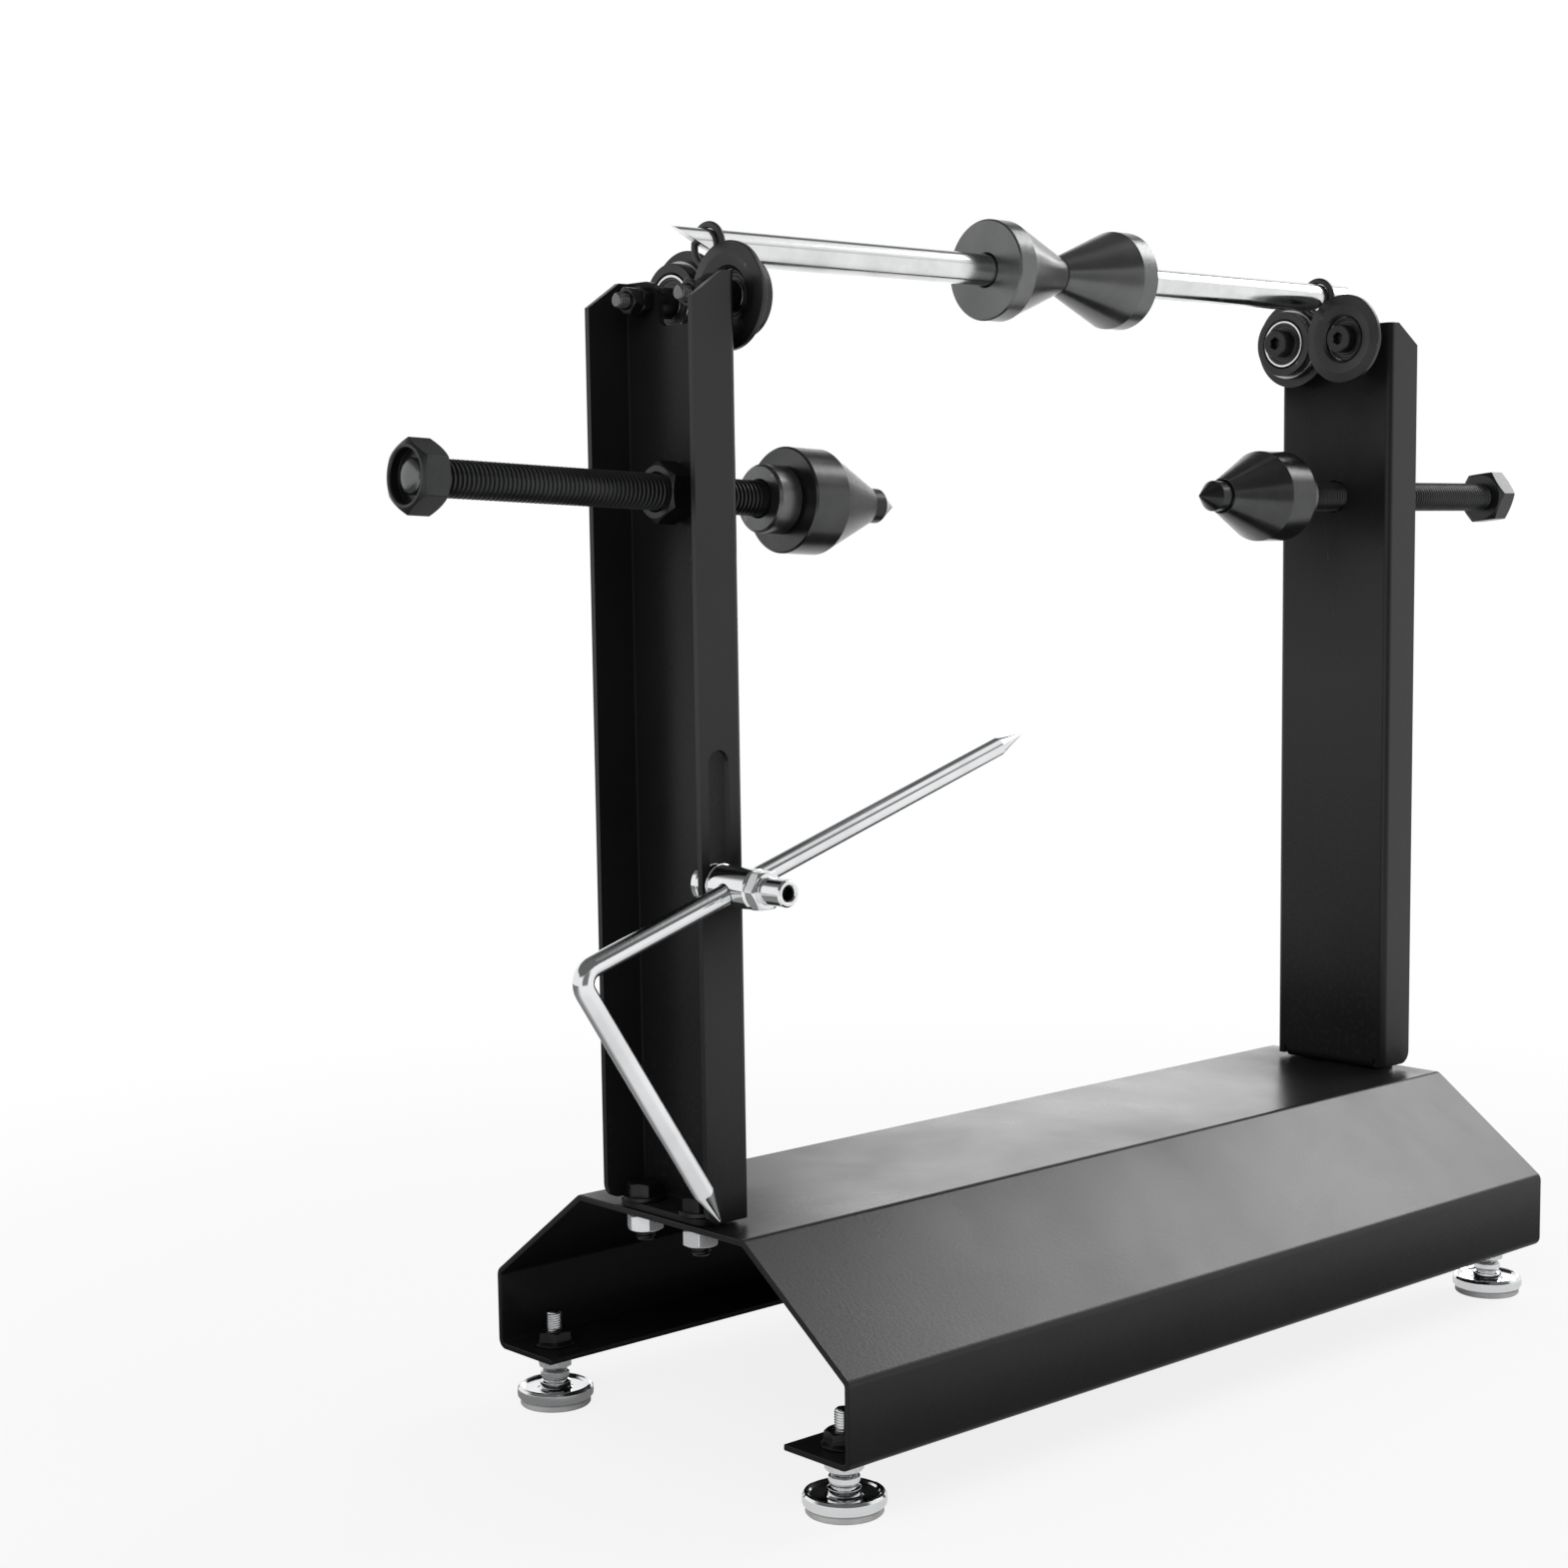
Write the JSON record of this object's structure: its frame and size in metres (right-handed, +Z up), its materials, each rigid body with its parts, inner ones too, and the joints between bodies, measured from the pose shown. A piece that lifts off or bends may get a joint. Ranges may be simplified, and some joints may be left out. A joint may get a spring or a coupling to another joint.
{
  "type": "motorcycle wheel balancer",
  "caption": "Bench stand with folded steel base and channel uprights, carrying a roller-borne balance shaft with cones, screw-in truing points and a sliding bent pointer.",
  "frame": {"origin": "on the floor under the middle of the base, midway between the uprights and between the front and rear feet", "axes": "+Z up, square to the floor; +X along the balance shaft from the left upright, which carries the pointer, to the right one; -Y to the front, where the pointer stands"},
  "size_m": [0.6733, 0.216, 0.4924],
  "materials": {
    "black_powder_coat": "satin black powder coat on bent sheet steel",
    "black_bolts": "black oxide fasteners",
    "zinc_nuts": "bright zinc plate",
    "bright_chrome": "bright chrome plate",
    "grey_nylon_pads": "moulded light grey nylon",
    "black_roller_wheels": "black oxide steel with a bright turned band",
    "bearing_steel": "ground bearing steel",
    "bright_ground_steel": "bright ground steel bar",
    "rubber_rings": "black rubber",
    "black_oxide_cones": "black oxide turned steel, half gloss",
    "black_oxide_threads": "black oxide screwed steel"
  },
  "bodies": {
    "frame": {"base_plate": "black_powder_coat", "left_upright": "black_powder_coat", "right_upright": "black_powder_coat", "upright_bolt_left_front": "black_bolts", "upright_bolt_left_rear": "black_bolts", "upright_bolt_right_front": "black_bolts", "upright_bolt_right_rear": "black_bolts", "upright_nut_left_front": "zinc_nuts", "upright_nut_left_rear": "zinc_nuts", "upright_nut_right_front": "zinc_nuts", "upright_nut_right_rear": "zinc_nuts", "foot_lock_nut_left_front": "zinc_nuts", "foot_lock_nut_left_rear": "zinc_nuts", "foot_lock_nut_right_front": "zinc_nuts", "foot_lock_nut_right_rear": "zinc_nuts", "foot_top_nut_left_front": "black_bolts", "foot_top_nut_left_rear": "black_bolts", "foot_top_nut_right_front": "black_bolts", "foot_top_nut_right_rear": "black_bolts", "roller_axle_left_front": "black_bolts", "roller_axle_left_rear": "black_bolts", "roller_axle_right_front": "black_bolts", "roller_axle_right_rear": "black_bolts", "roller_nut_left_front": "black_bolts", "roller_nut_left_rear": "black_bolts", "roller_nut_right_front": "black_bolts", "roller_nut_right_rear": "black_bolts", "truing_web_nut_left": "black_oxide_threads", "truing_web_nut_right": "black_oxide_threads"},
    "foot_left_front": {"foot_glide_left_front": "bright_chrome", "foot_pad_left_front": "grey_nylon_pads"},
    "foot_left_rear": {"foot_glide_left_rear": "bright_chrome", "foot_pad_left_rear": "grey_nylon_pads"},
    "foot_right_front": {"foot_glide_right_front": "bright_chrome", "foot_pad_right_front": "grey_nylon_pads"},
    "foot_right_rear": {"foot_glide_right_rear": "bright_chrome", "foot_pad_right_rear": "grey_nylon_pads"},
    "roller_left_front": {"roller_wheel_left_front": "black_roller_wheels", "roller_bearing_left_front": "bearing_steel"},
    "roller_left_rear": {"roller_wheel_left_rear": "black_roller_wheels", "roller_bearing_left_rear": "bearing_steel"},
    "roller_right_front": {"roller_wheel_right_front": "black_roller_wheels", "roller_bearing_right_front": "bearing_steel"},
    "roller_right_rear": {"roller_wheel_right_rear": "black_roller_wheels", "roller_bearing_right_rear": "bearing_steel"},
    "shaft_rings": {"shaft_ring_left": "rubber_rings", "shaft_ring_right": "rubber_rings"},
    "shaft": {"balance_shaft": "bright_ground_steel"},
    "shaft_cone_left": {"shaft_cone_left": "black_oxide_cones"},
    "shaft_cone_right": {"shaft_cone_right": "black_oxide_cones"},
    "truing_cone_left": {"truing_cone_left": "black_oxide_cones"},
    "truing_rod_left": {"truing_rod_left": "black_oxide_threads", "truing_collar_left": "black_oxide_cones"},
    "truing_cone_right": {"truing_cone_right": "black_oxide_cones"},
    "truing_rod_right": {"truing_rod_right": "black_oxide_threads", "truing_collar_right": "black_oxide_cones"},
    "pointer_slide": {"pointer_slide_nut": "bright_chrome"},
    "pointer_clamp": {"pointer_post": "bright_chrome", "pointer_clamp_screw": "bright_chrome"},
    "pointer_rod": {"pointer_rod": "bright_chrome"}
  },
  "joints": [
    {"name": "foot_level_left_front", "type": "slide", "parent": "frame", "child": "foot_left_front", "axis": [0, 0, 1], "range_m": [-0.008, 0.0005]},
    {"name": "foot_level_left_rear", "type": "slide", "parent": "frame", "child": "foot_left_rear", "axis": [0, 0, 1], "range_m": [-0.008, 0.0005]},
    {"name": "foot_level_right_front", "type": "slide", "parent": "frame", "child": "foot_right_front", "axis": [0, 0, 1], "range_m": [-0.008, 0.0005]},
    {"name": "foot_level_right_rear", "type": "slide", "parent": "frame", "child": "foot_right_rear", "axis": [0, 0, 1], "range_m": [-0.008, 0.0005]},
    {"name": "roller_spin_left_front", "type": "hinge", "parent": "frame", "child": "roller_left_front", "pos_m": [-0.1877, -0.0184, 0.4511], "axis": [1, 0, 0], "continuous": true},
    {"name": "roller_spin_left_rear", "type": "hinge", "parent": "frame", "child": "roller_left_rear", "pos_m": [-0.1877, 0.0184, 0.4511], "axis": [1, 0, 0], "continuous": true},
    {"name": "roller_spin_right_front", "type": "hinge", "parent": "frame", "child": "roller_right_front", "pos_m": [0.1877, -0.0184, 0.4511], "axis": [1, 0, 0], "continuous": true},
    {"name": "roller_spin_right_rear", "type": "hinge", "parent": "frame", "child": "roller_right_rear", "pos_m": [0.1877, 0.0184, 0.4511], "axis": [1, 0, 0], "continuous": true},
    {"name": "shaft_lift", "type": "slide", "parent": "frame", "child": "shaft_rings", "axis": [0, 0, 1], "range_m": [0, 0.08]},
    {"name": "shaft_spin", "type": "hinge", "parent": "shaft_rings", "child": "shaft", "pos_m": [0, 0, 0.4714], "axis": [1, 0, 0], "continuous": true},
    {"name": "shaft_cone_slide_left", "type": "slide", "parent": "shaft", "child": "shaft_cone_left", "axis": [1, 0, 0], "range_m": [-0.14, 0]},
    {"name": "shaft_cone_slide_right", "type": "slide", "parent": "shaft", "child": "shaft_cone_right", "axis": [1, 0, 0], "range_m": [0, 0.13]},
    {"name": "truing_slide_left", "type": "slide", "parent": "frame", "child": "truing_cone_left", "axis": [0.999, 0, -0.0454], "range_m": [-0.034, 0.095]},
    {"name": "truing_spin_left", "type": "hinge", "parent": "truing_cone_left", "child": "truing_rod_left", "pos_m": [-0.0942, 0, 0.37268], "axis": [0.999, 0, -0.0454], "range_deg": [-6122, 17102]},
    {"name": "truing_slide_right", "type": "slide", "parent": "frame", "child": "truing_cone_right", "axis": [-1, 0, 0], "range_m": [-0.026, 0.095]},
    {"name": "truing_spin_right", "type": "hinge", "parent": "truing_cone_right", "child": "truing_rod_right", "pos_m": [0.1028, 0, 0.3778], "axis": [-1, 0, 0], "range_deg": [-4682, 17102]},
    {"name": "pointer_height", "type": "slide", "parent": "frame", "child": "pointer_slide", "axis": [0, 0, 1], "range_m": [0, 0.046]},
    {"name": "pointer_swing", "type": "hinge", "parent": "pointer_slide", "child": "pointer_clamp", "pos_m": [-0.217, -0.0323, 0.2308], "axis": [0, -1, 0], "range_deg": [-60, 45]},
    {"name": "pointer_reach", "type": "slide", "parent": "pointer_clamp", "child": "pointer_rod", "axis": [0.9537, 0, 0.3007], "range_m": [-0.06, 0.05]}
  ],
  "couplings": [
    {"joint": "roller_spin_left_front", "follows": "shaft_spin", "ratio": -0.32195},
    {"joint": "roller_spin_left_rear", "follows": "shaft_spin", "ratio": -0.32195},
    {"joint": "roller_spin_right_front", "follows": "shaft_spin", "ratio": -0.32195},
    {"joint": "roller_spin_right_rear", "follows": "shaft_spin", "ratio": -0.32195},
    {"joint": "truing_spin_left", "follows": "truing_slide_left", "rad_per_m": 3141.6},
    {"joint": "truing_spin_right", "follows": "truing_slide_right", "rad_per_m": 3141.6}
  ]
}
